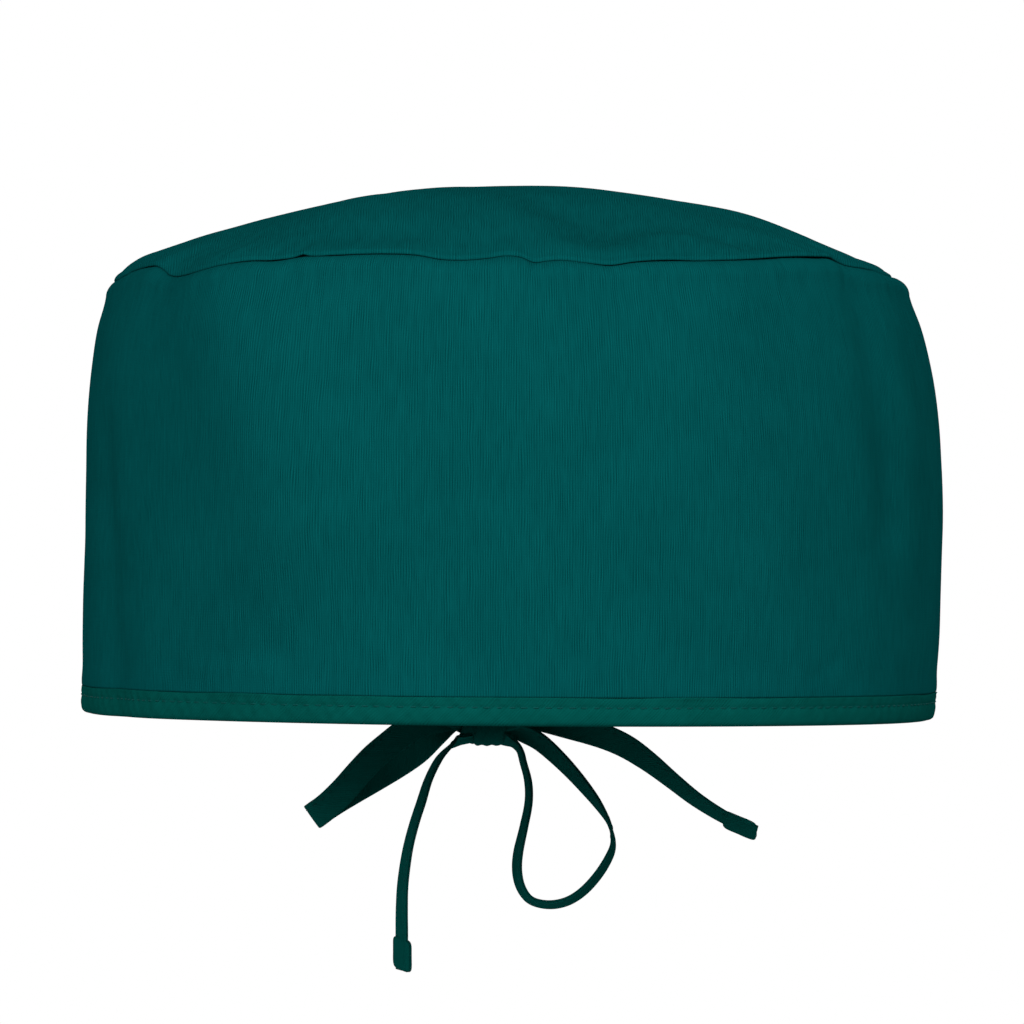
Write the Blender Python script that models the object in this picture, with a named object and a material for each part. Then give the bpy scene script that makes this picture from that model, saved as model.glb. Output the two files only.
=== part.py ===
# Surgeon's skull cap: a tall cloth band, a soft crown panel, a bound hem and two ties in a bow behind.
# Metres. +Z is up and the front of the cap faces -Y. The origin is the middle of the head opening,
# on the plane of the front and side hem. Left and right are those of someone who looks at the front.

import math
from collections import namedtuple

import bmesh
import bpy
from mathutils import Vector

# Cap
CAP_WIDTH = 0.194
CAP_DEPTH = 0.200
BAND_HEIGHT = 0.098        # hem to crown seam, at the front and sides
CROWN_RISE = 0.0207        # crown seam to the top of the dome
BACK_SEAM_DROP = 0.012     # how much lower the crown seam lies behind
BACK_HEM_DIP = 0.004       # how far the ties draw the hem down behind
HEM_TILT = 0.0011          # how much lower the hem lies at the right than at the left
CLOTH = 0.0012             # the walls' thickness
CLEARANCE = 0.0003         # between pieces that touch
PLAN_POWER = 2.2           # 2 is an ellipse, more is squarer
SHOULDER_RADIUS = 0.004    # the band's roll into the crown seam
CROWN_LIP = 0.0015         # the crown's small upright edge at the seam
SEAM_ALLOWANCE = 0.005     # cloth of band and crown turned in at their seam
TUCK_ANGLE = math.radians(45)
FOLD_DEPTH = 0.003         # the deepest soft fold of band and crown
SEAM_WAVE = 0.003          # how far the crown seam wanders up and down

# Hem binding
BINDING_HEIGHT = 0.006
BINDING_CLOTH = 0.001
BINDING_STEP = 0.0008      # how far the tape draws the band in
BINDING_RAMP = 0.0022      # how far above the tape the band has swelled out again

# Ties, knot and back notch
TIE_WIDTH = 0.0066
TIE_THICKNESS = 0.0012
TAB_LENGTH = 0.0065
TAB_WIDTH = 0.0078
TAB_THICKNESS = 0.0024
TAB_STEP = 0.0004
KNOT_X = -0.0067
KNOT_DROP = 0.0033         # the knot's middle below the band's edge
KNOT_WIDTH = 0.011
KNOT_DEPTH = 0.009
KNOT_HEIGHT = 0.010
KNOT_ROUNDING = 0.0025
LEAD = 0.0022              # how far each loop runs square out of the knot
TIE_RUN = 0.0075           # from the knot's side to the notch's side, at the hem
SLIT_WIDTH = KNOT_WIDTH + 2 * TIE_RUN
SLIT_HEIGHT = 0.055

# Mesh fineness
COLUMNS = 60
SHOULDER_STEPS = 3
TAPE_STEP = 0.0016
CURVE_STEPS = 12
ROW_GAP = 0.02             # the least share of the band's height between two rows

CAP_COLOUR = (0.0014, 0.083, 0.083, 1.0)
BINDING_COLOUR = (0.0014, 0.073, 0.070, 1.0)
TIE_COLOUR = (0.0012, 0.060, 0.056, 1.0)

# The band's plan at a share of its height, as shares of half the cap's width and depth.
Section = namedtuple("Section", "height left right front back")
BAND_SECTIONS = (
    Section(0.00, 0.998, 0.979, 0.996, 0.922),
    Section(0.14, 0.998, 0.992, 1.000, 0.952),
    Section(0.30, 0.996, 0.997, 1.006, 0.992),
    Section(0.47, 0.990, 1.001, 1.008, 1.018),
    Section(0.66, 0.987, 0.992, 1.004, 1.020),
    Section(0.80, 0.975, 0.972, 0.990, 1.002),
    Section(0.89, 0.962, 0.949, 0.976, 0.980),
    Section(0.95, 0.945, 0.926, 0.962, 0.955),
)

# The dome: a ring's share of the way out to the seam, and its share of the fall from the top.
Ring = namedtuple("Ring", "reach fall")
CROWN_RINGS = (
    Ring(0.14, 0.012),
    Ring(0.30, 0.078),
    Ring(0.45, 0.188),
    Ring(0.60, 0.345),
    Ring(0.73, 0.515),
    Ring(0.84, 0.665),
    Ring(0.92, 0.800),
    Ring(0.975, 0.910),
    Ring(1.00, 1.000),
)

# Soft folds of the band, each a line between two places, as the turn round the cap from the back by
# the right side, and the share of the height. Depth is a share of FOLD_DEPTH, inward if it is positive.
BandFold = namedtuple("BandFold", "turn_a height_a turn_b height_b reach depth")
BAND_FOLDS = (
    BandFold(0.640, 0.92, 0.580, 0.42, 0.13, 0.90),
    BandFold(0.690, 0.62, 0.672, 0.04, 0.07, 0.40),
    BandFold(0.655, 0.40, 0.640, 0.02, 0.08, -0.25),
    BandFold(0.362, 0.90, 0.346, 0.16, 0.09, 0.55),
    BandFold(0.318, 0.72, 0.322, 0.50, 0.08, -0.30),
    BandFold(0.484, 0.99, 0.490, 0.86, 0.07, 0.35),
    BandFold(0.060, 0.06, 0.105, 0.70, 0.14, 0.70),
    BandFold(0.932, 0.06, 0.890, 0.66, 0.14, 0.70),
)

# Soft folds of the crown, as shares of half the cap's width and depth. Depth is downward. They fade out
# over the outermost share of the way to the seam.
FOLD_FADE = 0.1
CrownFold = namedtuple("CrownFold", "x_a y_a x_b y_b reach depth")
CROWN_FOLDS = (
    CrownFold(0.10, -0.50, 0.42, -0.88, 0.13, 0.80),
    CrownFold(-0.02, -0.84, -0.12, -0.62, 0.12, -0.50),
    CrownFold(0.46, -0.62, 0.66, -0.60, 0.12, -0.30),
    CrownFold(-0.62, -0.62, -0.36, -0.74, 0.10, 0.45),
    CrownFold(0.80, -0.40, 0.84, 0.20, 0.15, 0.20),
    CrownFold(-0.20, 0.40, 0.30, 0.62, 0.16, 0.60),
)

# The crown seam's small waves: where, how wide, and the rise as a share of SEAM_WAVE.
WAVE_FADE = 5              # the power of the height, or of the fall, by which a wave dies away
SeamWave = namedtuple("SeamWave", "turn reach rise")
SEAM_WAVES = (
    SeamWave(0.643, 0.014, 0.85),
    SeamWave(0.616, 0.012, -0.35),
    SeamWave(0.484, 0.018, -0.30),
    SeamWave(0.362, 0.022, 0.50),
)


def half_sizes(share):
    # The plan's left, right, front and back reach at a share of the band's height.
    low, high = BAND_SECTIONS[0], BAND_SECTIONS[-1]
    for section in BAND_SECTIONS:
        if section.height <= share:
            low = section
    for section in reversed(BAND_SECTIONS):
        if section.height >= share:
            high = section
    span = high.height - low.height
    blend = (share - low.height) / span if span > 0 else 0.0
    left, right, front, back = (a + (b - a) * blend for a, b in zip(low[1:], high[1:]))
    return left * CAP_WIDTH / 2, right * CAP_WIDTH / 2, front * CAP_DEPTH / 2, back * CAP_DEPTH / 2


def plan_point(turn, sizes):
    left, right, front, back = sizes
    side, rear = math.sin(2 * math.pi * turn), math.cos(2 * math.pi * turn)
    x = math.copysign(abs(side) ** (2 / PLAN_POWER), side)
    y = math.copysign(abs(rear) ** (2 / PLAN_POWER), rear)
    return Vector((x * (right if x > 0 else left), y * (back if y > 0 else front), 0))


def plan_normal(turn, sizes):
    step = 0.0005
    along = plan_point(turn + step, sizes) - plan_point(turn - step, sizes)
    return Vector((-along.y, along.x, 0)).normalized()


def back_turn(x, sizes):
    # The turn, near 0, at which the back of the plan has this x.
    left, right = sizes[0], sizes[1]
    share = abs(x) / (right if x > 0 else left)
    return math.copysign(math.asin(share ** (PLAN_POWER / 2)), x) / (2 * math.pi)


def backness(turn):
    return max(0.0, math.cos(2 * math.pi * turn)) ** 2


def hem_z(turn):
    # The band's raw edge, inside the folded tape.
    tilt = HEM_TILT / 2 * math.sin(2 * math.pi * turn)
    return CLEARANCE + BINDING_CLOTH - BACK_HEM_DIP * backness(turn) - tilt


def binding_recess(share):
    # How far the band is drawn in by the tape, all the way up to its top and a little above.
    above = (share * BAND_HEIGHT - BINDING_HEIGHT) / BINDING_RAMP
    return BINDING_STEP * max(0.0, min(1.0, 1 - above))


def seam_wave(turn):
    total = 0.0
    for wave in SEAM_WAVES:
        total += wave.rise * math.exp(-((turn - wave.turn) / wave.reach) ** 2)
    return total * SEAM_WAVE


def seam_z(turn):
    return BAND_HEIGHT - BACK_SEAM_DROP * backness(turn)


def distance_to_line(point, end_a, end_b):
    line = end_b - end_a
    share = max(0.0, min(1.0, (point - end_a).dot(line) / line.length_squared))
    return (point - end_a - line * share).length


def band_fold(turn, share):
    # The band unrolled: a whole turn is this many times as long as the band is high.
    unrolled = math.pi * (CAP_WIDTH + CAP_DEPTH) / 2 / BAND_HEIGHT
    total = 0.0
    for fold in BAND_FOLDS:
        end_a = Vector((fold.turn_a * unrolled, fold.height_a))
        end_b = Vector((fold.turn_b * unrolled, fold.height_b))
        away = distance_to_line(Vector((turn * unrolled, share)), end_a, end_b)
        total += fold.depth * math.exp(-(away / fold.reach) ** 2)
    return total * FOLD_DEPTH


def crown_fold(x, y):
    place = Vector((x / (CAP_WIDTH / 2), y / (CAP_DEPTH / 2)))
    total = 0.0
    for fold in CROWN_FOLDS:
        away = distance_to_line(place, Vector((fold.x_a, fold.y_a)), Vector((fold.x_b, fold.y_b)))
        total += fold.depth * math.exp(-(away / fold.reach) ** 2)
    return total * FOLD_DEPTH


def wall_point(turn, share, out=0.0):
    # A point of the band's outer face, moved outward by out.
    sizes = half_sizes(share)
    out -= band_fold(turn, share) + binding_recess(share)
    point = plan_point(turn, sizes) + plan_normal(turn, sizes) * out
    point.z = hem_z(turn) + (seam_z(turn) - hem_z(turn)) * share + seam_wave(turn) * share ** WAVE_FADE
    return point


def seam_point(turn, inset, rise):
    # A point beside the crown seam, inset from the band's outer face and up by rise.
    share = 1 - SHOULDER_RADIUS / BAND_HEIGHT
    sizes = half_sizes(share)
    point = plan_point(turn, sizes) - plan_normal(turn, sizes) * (inset + band_fold(turn, share))
    point.z = seam_z(turn) + seam_wave(turn) + rise
    return point


def slit_share():
    return SLIT_HEIGHT / (seam_z(0) - hem_z(0))


def column_turn(column, share):
    # Columns run from the right edge of the notch round the front to its left edge.
    half = SLIT_WIDTH / 2 * max(0.0, 1 - share / slit_share())
    sizes = half_sizes(min(share, slit_share()))
    start = back_turn(KNOT_X + half, sizes)
    end = 1 + back_turn(KNOT_X - half, sizes)
    return start + (end - start) * column / COLUMNS


def make_object(name, mesh, colour, sharp_angle=50):
    bmesh.ops.recalc_face_normals(mesh, faces=mesh.faces)
    data = bpy.data.meshes.new(name)
    mesh.to_mesh(data)
    mesh.free()
    data.shade_smooth()
    data.set_sharp_from_angle(angle=math.radians(sharp_angle))
    material = bpy.data.materials.new(name)
    material.use_nodes = True
    shader = material.node_tree.nodes["Principled BSDF"]
    shader.inputs["Base Color"].default_value = colour
    shader.inputs["Roughness"].default_value = 0.85
    shader.inputs["Metallic"].default_value = 0.0
    data.materials.append(material)
    piece = bpy.data.objects.new(name, data)
    bpy.context.collection.objects.link(piece)
    return piece


def thicken(piece):
    solidify = piece.modifiers.new("cloth", "SOLIDIFY")
    solidify.thickness = CLOTH
    solidify.offset = -1
    solidify.use_even_offset = True
    solidify.use_quality_normals = True


def fill_rows(mesh, rows):
    for low, high in zip(rows, rows[1:]):
        for column in range(COLUMNS):
            mesh.faces.new((low[column], high[column], high[column + 1], low[column + 1]))


def add_row(mesh, points, closed):
    row = [mesh.verts.new(point) for point in (points[:-1] if closed else points)]
    return row + row[:1] if closed else row


def make_band():
    mesh = bmesh.new()
    wall_top = 1 - SHOULDER_RADIUS / BAND_HEIGHT
    ramp_top = (BINDING_HEIGHT + BINDING_RAMP) / BAND_HEIGHT
    shares = {0.0, BINDING_HEIGHT / BAND_HEIGHT, ramp_top, slit_share()}
    for section in BAND_SECTIONS:
        clear_of_rows = min(abs(section.height - share) for share in shares) > ROW_GAP
        if clear_of_rows and ramp_top < section.height < wall_top - ROW_GAP:
            shares.add(section.height)
    rows = []
    for share in sorted(shares):
        turns = [column_turn(column, share) for column in range(COLUMNS + 1)]
        points = [wall_point(turn, share) for turn in turns]
        rows.append(add_row(mesh, points, share >= slit_share()))

    # The roll into the seam, then the allowance turned down inside.
    profile = []
    for step in range(SHOULDER_STEPS + 1):
        angle = math.pi / 2 * step / SHOULDER_STEPS
        profile.append((SHOULDER_RADIUS * (1 - math.cos(angle)), SHOULDER_RADIUS * (math.sin(angle) - 1)))
    profile.append((
        SHOULDER_RADIUS + SEAM_ALLOWANCE * math.cos(TUCK_ANGLE),
        -SEAM_ALLOWANCE * math.sin(TUCK_ANGLE),
    ))
    turns = [column_turn(column, 1.0) for column in range(COLUMNS + 1)]
    for inset, rise in profile:
        rows.append(add_row(mesh, [seam_point(turn, inset, rise) for turn in turns], True))
    fill_rows(mesh, rows)
    thicken(make_object("side_band", mesh, CAP_COLOUR))


def make_crown():
    mesh = bmesh.new()
    turns = [column_turn(column, 1.0) for column in range(COLUMNS + 1)]
    aside = CLEARANCE * math.sqrt(0.5)
    seam_inset = SHOULDER_RADIUS + aside
    top_z = BAND_HEIGHT + CROWN_RISE
    allowance = [seam_point(
        turn,
        seam_inset + SEAM_ALLOWANCE * math.cos(TUCK_ANGLE),
        aside - SEAM_ALLOWANCE * math.sin(TUCK_ANGLE),
    ) for turn in turns]
    rows = [
        add_row(mesh, allowance, True),
        add_row(mesh, [seam_point(turn, seam_inset, aside) for turn in turns], True),
    ]
    for ring in reversed(CROWN_RINGS):
        points = []
        for turn in turns:
            edge = seam_point(turn, seam_inset, CROWN_LIP)
            point = Vector((edge.x * ring.reach, edge.y * ring.reach, 0))
            fade = min(1.0, (1 - ring.reach) / FOLD_FADE)
            wave = seam_wave(turn)
            point.z = top_z - (top_z - edge.z + wave) * ring.fall + wave * ring.fall ** WAVE_FADE
            point.z -= crown_fold(point.x, point.y) * fade
            points.append(point)
        rows.append(add_row(mesh, points, True))
    fill_rows(mesh, rows)
    top = mesh.verts.new((0, 0, top_z))
    for column in range(COLUMNS):
        mesh.faces.new((rows[-1][column], top, rows[-1][column + 1]))
    thicken(make_object("crown", mesh, CAP_COLOUR))


def make_binding():
    mesh = bmesh.new()
    outside, inside = CLEARANCE, -CLOTH - CLEARANCE
    # The folded tape's section as how far out and how far up, from the outer leg's top round to its foot.
    profile = (
        (outside + BINDING_CLOTH, BINDING_HEIGHT),
        (outside + BINDING_CLOTH, -CLEARANCE),
        (outside, -CLEARANCE - BINDING_CLOTH),
        (inside, -CLEARANCE - BINDING_CLOTH),
        (inside - BINDING_CLOTH, -CLEARANCE),
        (inside - BINDING_CLOTH, BINDING_HEIGHT),
        (inside, BINDING_HEIGHT),
        (inside, -CLEARANCE),
        (outside, -CLEARANCE),
        (outside, BINDING_HEIGHT),
    )
    rows = []
    for out, up in profile:
        share = max(0.0, up / BAND_HEIGHT)
        row = []
        for column in range(COLUMNS + 1):
            point = wall_point(column_turn(column, share), share, out)
            point.z += min(0.0, up)
            row.append(mesh.verts.new(point))
        rows.append(row)
    fill_rows(mesh, rows + rows[:1])
    for end in (0, COLUMNS):
        for corners in ((0, 1, 8, 9), (1, 2, 8), (2, 3, 7, 8), (3, 4, 7), (4, 5, 6, 7)):
            mesh.faces.new([rows[corner][end] for corner in corners])
    make_object("hem_binding", mesh, BINDING_COLOUR)


def smooth_route(route):
    # A smooth curve through the route's points. Each row holds x, y, z, tilt and swing.
    rows = [route[0], *route, route[-1]]
    fine = []
    for before, a, b, after in zip(rows, rows[1:], rows[2:], rows[3:]):
        for step in range(CURVE_STEPS):
            t = step / CURVE_STEPS
            fine.append(tuple(
                0.5 * (2 * q + (r - p) * t + (2 * p - 5 * q + 4 * r - s) * t * t
                       + (3 * q - p - 3 * r + s) * t ** 3)
                for p, q, r, s in zip(before, a, b, after)
            ))
    fine.append(tuple(route[-1]))
    return fine


def route_stations(route, tab=False):
    # Places along the route, evenly spaced: the middle, and the vectors to an edge and to a face.
    fine = smooth_route(route)
    lengths = [0.0]
    for a, b in zip(fine, fine[1:]):
        lengths.append(lengths[-1] + (Vector(b[:3]) - Vector(a[:3])).length)
    total = lengths[-1]
    count = max(2, round(total / TAPE_STEP))
    places = [total * step / count for step in range(count + 1)]
    if tab:
        places = [place for place in places if place < total - TAB_LENGTH - TAB_STEP]
        places += [total - TAB_LENGTH - TAB_STEP, total - TAB_LENGTH, total - TAB_LENGTH / 2, total]

    def at(place):
        index = 1
        while index < len(lengths) - 1 and lengths[index] < place:
            index += 1
        blend = (place - lengths[index - 1]) / (lengths[index] - lengths[index - 1])
        return [a + (b - a) * blend for a, b in zip(fine[index - 1], fine[index])]

    stations = []
    look = TAPE_STEP / 4
    for place in places:
        here = at(place)
        along = Vector(at(min(total, place + look))[:3]) - Vector(at(max(0.0, place - look))[:3])
        along.normalize()
        tilt, swing = math.radians(here[3]), math.radians(here[4])
        width = Vector((math.cos(tilt) * math.cos(swing), math.sin(swing), math.sin(tilt) * math.cos(swing)))
        width = (width - along * width.dot(along)).normalized()
        on_tab = tab and place >= total - TAB_LENGTH
        half_width = (TAB_WIDTH if on_tab else TIE_WIDTH) / 2
        half_thickness = (TAB_THICKNESS if on_tab else TIE_THICKNESS) / 2
        stations.append((Vector(here[:3]), width * half_width, along.cross(width) * half_thickness))
    return stations


def make_tape(name, stations, origin):
    mesh = bmesh.new()
    rows = []
    for centre, width, thickness in stations:
        corners = (width + thickness, width - thickness, -width - thickness, -width + thickness)
        rows.append([mesh.verts.new(origin + centre + corner) for corner in corners])
    for low, high in zip(rows, rows[1:]):
        for side in range(4):
            after = (side + 1) % 4
            mesh.faces.new((low[side], low[after], high[after], high[side]))
    mesh.faces.new(rows[0])
    mesh.faces.new(rows[-1])
    make_object(name, mesh, TIE_COLOUR)


def knot_centre():
    # The knot sits in the notch's mouth, with the band's edge through its inner third.
    back = half_sizes(0)[3] - binding_recess(0)
    return Vector((KNOT_X, back - CLOTH / 2 + KNOT_DEPTH / 3, hem_z(0) - KNOT_DROP))


def make_knot():
    mesh = bmesh.new()
    bmesh.ops.create_cube(mesh, size=1)
    for vert in mesh.verts:
        vert.co = vert.co * Vector((KNOT_WIDTH, KNOT_DEPTH, KNOT_HEIGHT))
    knot = make_object("bow_knot", mesh, TIE_COLOUR)
    knot.location = knot_centre()
    bevel = knot.modifiers.new("round", "BEVEL")
    bevel.width = KNOT_ROUNDING
    bevel.segments = 3


def make_hem_tie(name, column, side):
    # A short straight run from the binding's end to the knot's side. Side is 1 for right, -1 for left.
    knot = knot_centre()
    hem_end = wall_point(column_turn(column, 0.0), 0.0, -CLOTH / 2)
    hem_end.z += (BINDING_HEIGHT - CLEARANCE - BINDING_CLOTH) / 2
    top_share = BINDING_HEIGHT / BAND_HEIGHT
    inner_corner = wall_point(column_turn(column, top_share), top_share, -CLOTH - CLEARANCE - BINDING_CLOTH)
    hem_end.x = inner_corner.x - side * CLEARANCE
    knot_end = Vector((
        knot.x + side * (KNOT_WIDTH / 2 + CLEARANCE),
        knot.y - KNOT_DEPTH / 3,
        knot.z + KNOT_HEIGHT / 2 - TIE_WIDTH / 2,
    ))
    width, thickness = Vector((0, 0, TIE_WIDTH / 2)), Vector((0, TIE_THICKNESS / 2, 0))
    make_tape(name, [(hem_end, width, thickness), (knot_end, width, thickness)], Vector((0, 0, 0)))


# The bow's routes are from the knot's middle. Tilt is the direction of the tape's width in the front
# view, in degrees from +X towards +Z, and swing is how far that width is turned away from the viewer.
KNOT_LEFT = -(KNOT_WIDTH / 2 + CLEARANCE)
KNOT_RIGHT = KNOT_WIDTH / 2 + CLEARANCE
LEAD_LEFT = KNOT_LEFT - LEAD
LEAD_RIGHT = KNOT_RIGHT + LEAD

LEFT_LOOP_ROUTE = (
    (KNOT_LEFT, -0.0003, 0.0016, 92, 10),
    (LEAD_LEFT, -0.0003, 0.0016, 94, 10),
    (-0.0112, 0.0002, 0.0012, 102, 12),
    (-0.0147, 0.0008, 0.0003, 108, 14),
    (-0.0192, 0.0010, -0.0019, 118, 15),
    (-0.0230, 0.0008, -0.0048, 127, 15),
    (-0.0268, 0.0003, -0.0080, 134, 15),
    (-0.0303, 0.0000, -0.0117, 139, 14),
    (-0.0337, 0.0000, -0.0156, 138, 10),
    (-0.0372, 0.0003, -0.0191, 131, 5),
    (-0.0407, 0.0012, -0.0219, 126, 0),
    (-0.0415, 0.0032, -0.0224, 126, 0),
    (-0.0396, 0.0050, -0.0211, 126, 0),
    (-0.0364, 0.0062, -0.0190, 124, 2),
    (-0.0322, 0.0070, -0.0165, 122, 4),
    (-0.0268, 0.0076, -0.0134, 121, 6),
    (-0.0208, 0.0074, -0.0098, 121, 8),
    (-0.0160, 0.0062, -0.0064, 118, 8),
    (-0.0118, 0.0040, -0.0022, 108, 8),
    (LEAD_LEFT, 0.0024, 0.0014, 96, 8),
    (KNOT_LEFT, 0.0024, 0.0014, 92, 8),
)

RIGHT_LOOP_ROUTE = (
    (KNOT_RIGHT, 0.0008, -0.0042, 240, 88),
    (0.0072, 0.0009, -0.0047, 216, 87),
    (0.0087, 0.0012, -0.0066, 194, 83),
    (0.0094, 0.0016, -0.0092, 184, 80),
    (0.0106, 0.0018, -0.0139, 180, 79),
    (0.0107, 0.0018, -0.0190, 175, 79),
    (0.0095, 0.0016, -0.0251, 173, 78),
    (0.0082, 0.0012, -0.0309, 173, 75),
    (0.0079, 0.0010, -0.0353, 182, 74),
    (0.0087, 0.0010, -0.0392, 205, 74),
    (0.0108, 0.0010, -0.0423, 235, 75),
    (0.0140, 0.0010, -0.0435, 262, 74),
    (0.0176, 0.0010, -0.0435, 278, 73),
    (0.0212, 0.0012, -0.0423, 295, 73),
    (0.0247, 0.0014, -0.0397, 312, 73),
    (0.0281, 0.0016, -0.0357, 322, 74),
    (0.0305, 0.0018, -0.0315, 336, 77),
    (0.0312, 0.0020, -0.0287, 352, 84),
    (0.0307, 0.0022, -0.0256, 370, 90),
    (0.0296, 0.0024, -0.0228, 386, 96),
    (0.0261, 0.0026, -0.0176, 398, 106),
    (0.0203, 0.0026, -0.0108, 400, 114),
    (0.0142, 0.0022, -0.0050, 406, 110),
    (0.0104, 0.0018, -0.0027, 420, 100),
    (LEAD_RIGHT, 0.0013, -0.0018, 440, 91),
    (KNOT_RIGHT, 0.0013, -0.0018, 450, 90),
)

LEFT_END_ROUTE = (
    (KNOT_LEFT, -0.0014, -0.0038, 262, 87),
    (-0.0070, -0.0016, -0.0041, 246, 86),
    (-0.0083, -0.0024, -0.0053, 222, 82),
    (-0.0109, -0.0029, -0.0082, 212, 78),
    (-0.0134, -0.0031, -0.0131, 202, 74),
    (-0.0152, -0.0031, -0.0187, 198, 72),
    (-0.0168, -0.0030, -0.0236, 196, 72),
    (-0.0182, -0.0028, -0.0289, 192, 72),
    (-0.0191, -0.0026, -0.0340, 188, 71),
    (-0.0197, -0.0024, -0.0392, 184, 70),
    (-0.0199, -0.0022, -0.0450, 182, 68),
    (-0.0199, -0.0020, -0.0510, 180, 67),
    (-0.0200, -0.0019, -0.0552, 178, 69),
    (-0.0200, -0.0018, -0.0592, 176, 70),
)

RIGHT_END_ROUTE = (
    (KNOT_RIGHT, 0.0026, 0.0024, 90, -4),
    (LEAD_RIGHT, 0.0026, 0.0024, 89, -4),
    (0.0110, 0.0034, 0.0020, 84, -6),
    (0.0155, 0.0046, 0.0009, 80, -10),
    (0.0210, 0.0058, -0.0007, 76, -16),
    (0.0260, 0.0066, -0.0022, 71, -22),
    (0.0305, 0.0072, -0.0038, 66, -26),
    (0.0350, 0.0074, -0.0060, 60, -32),
    (0.0402, 0.0074, -0.0096, 54, -44),
    (0.0453, 0.0072, -0.0137, 51, -54),
    (0.0510, 0.0068, -0.0182, 50, -60),
    (0.0564, 0.0062, -0.0217, 54, -64),
    (0.0608, 0.0056, -0.0240, 60, -66),
    (0.0660, 0.0050, -0.0262, 66, -67),
)


def main():
    for old in list(bpy.data.objects):
        bpy.data.objects.remove(old)
    make_band()
    make_crown()
    make_binding()
    make_knot()
    make_hem_tie("tie_right", 0, 1)
    make_hem_tie("tie_left", COLUMNS, -1)
    knot = knot_centre()
    make_tape("bow_loop_left", route_stations(LEFT_LOOP_ROUTE), knot)
    make_tape("bow_loop_right", route_stations(RIGHT_LOOP_ROUTE), knot)
    make_tape("tie_end_left", route_stations(LEFT_END_ROUTE, tab=True), knot)
    make_tape("tie_end_right", route_stations(RIGHT_END_ROUTE, tab=True), knot)


main()
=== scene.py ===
# A surgeon's skull cap of dark teal poly-cotton: a tall band, a low crown panel, a bound hem and two ties
# in a bow below a notch behind. Metres, +Z up, the front faces -Y. Left and right are the viewer's.
import math

import bpy
import numpy as np
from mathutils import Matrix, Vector


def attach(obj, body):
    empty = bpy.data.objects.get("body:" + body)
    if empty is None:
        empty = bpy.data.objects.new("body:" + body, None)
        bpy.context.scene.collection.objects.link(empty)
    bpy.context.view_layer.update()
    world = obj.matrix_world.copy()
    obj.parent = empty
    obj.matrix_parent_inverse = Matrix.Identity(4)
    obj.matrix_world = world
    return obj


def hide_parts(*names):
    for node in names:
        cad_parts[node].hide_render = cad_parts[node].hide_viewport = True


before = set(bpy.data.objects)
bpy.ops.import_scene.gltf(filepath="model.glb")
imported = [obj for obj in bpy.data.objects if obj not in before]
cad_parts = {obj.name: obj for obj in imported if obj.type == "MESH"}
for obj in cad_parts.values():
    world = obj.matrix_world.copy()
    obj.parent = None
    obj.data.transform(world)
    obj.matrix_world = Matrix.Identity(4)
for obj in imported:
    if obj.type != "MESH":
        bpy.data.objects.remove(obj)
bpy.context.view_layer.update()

mm = 0.001
fullTurn = 2 * math.pi


# Camera, level with the middle of the band
cameraView = {
    "distance": 1.400,      # from the middle of the cap
    "height": 0.0453,
    "frameWidth": 0.2318,   # what the picture spans at the middle of the cap
    "sensor": 36,           # mm
}


def addCamera():
    data = bpy.data.cameras.new("camera")
    data.sensor_width = cameraView["sensor"]
    data.lens = cameraView["sensor"] * cameraView["distance"] / cameraView["frameWidth"]
    data.clip_end = 50
    camera = bpy.data.objects.new("camera", data)
    camera.location = (0, -cameraView["distance"], cameraView["height"])
    camera.rotation_euler = (math.pi / 2, 0, 0)
    bpy.context.collection.objects.link(camera)
    bpy.context.scene.camera = camera


addCamera()
print("camera set")


# The cap's form, as the pattern cutter would give it
cap = {
    "width": 0.194,
    "depth": 0.200,
    "bandHeight": 0.098,       # hem to crown seam
    "crownRise": 0.0207,       # crown seam to the top of the dome
    "backSeamDrop": 0.012,
    "backHemDip": 0.004,       # how far the ties draw the hem down behind
    "hemTilt": 0.0017,
    "hemDroop": 0.0006,        # of the hem at both sides
    "planPower": 2.2,          # 2 is an ellipse, more is squarer
    "foldDepth": 0.003,
    "waveFade": 5,             # how quickly the seam's waves die out away from it
    "notchWidth": 0.026,
    "notchHeight": 0.055,
    "knotX": -0.0067,
    "clearance": 0.0003,
    "tapeCloth": 0.001,
    "tapeHeight": 0.0047,      # over the band's raw edge
    "tapeStep": 0.0008,        # how far the tape draws the band in
    "tapeRamp": 0.0005,
    "wall": 0.0012,
    "shoulder": 0.004,         # the band's roll into the crown seam
}

# The band's plan at a share of its height, as shares of half the width and half the depth
#    height   left   right  front  back
bandSections = np.array((
    (0.00, 0.998, 0.979, 0.996, 0.922),
    (0.14, 0.998, 0.992, 1.000, 0.952),
    (0.30, 0.996, 0.997, 1.006, 0.992),
    (0.47, 0.990, 1.001, 1.008, 1.018),
    (0.66, 0.987, 0.992, 1.004, 1.020),
    (0.80, 0.975, 0.972, 0.990, 1.002),
    (0.89, 0.962, 0.949, 0.976, 0.980),
    (0.95, 0.945, 0.926, 0.962, 0.955),
    (1.00, 0.936, 0.914, 0.956, 0.942),
))

# The dome: the share of the way out to the seam, and the share of the fall from the top
domeRings = np.array((
    (0.00, 0.000), (0.14, 0.012), (0.30, 0.078), (0.45, 0.188), (0.60, 0.345),
    (0.73, 0.515), (0.84, 0.665), (0.92, 0.800), (0.96, 0.882), (0.985, 0.945), (1.00, 1.000),
))

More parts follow.
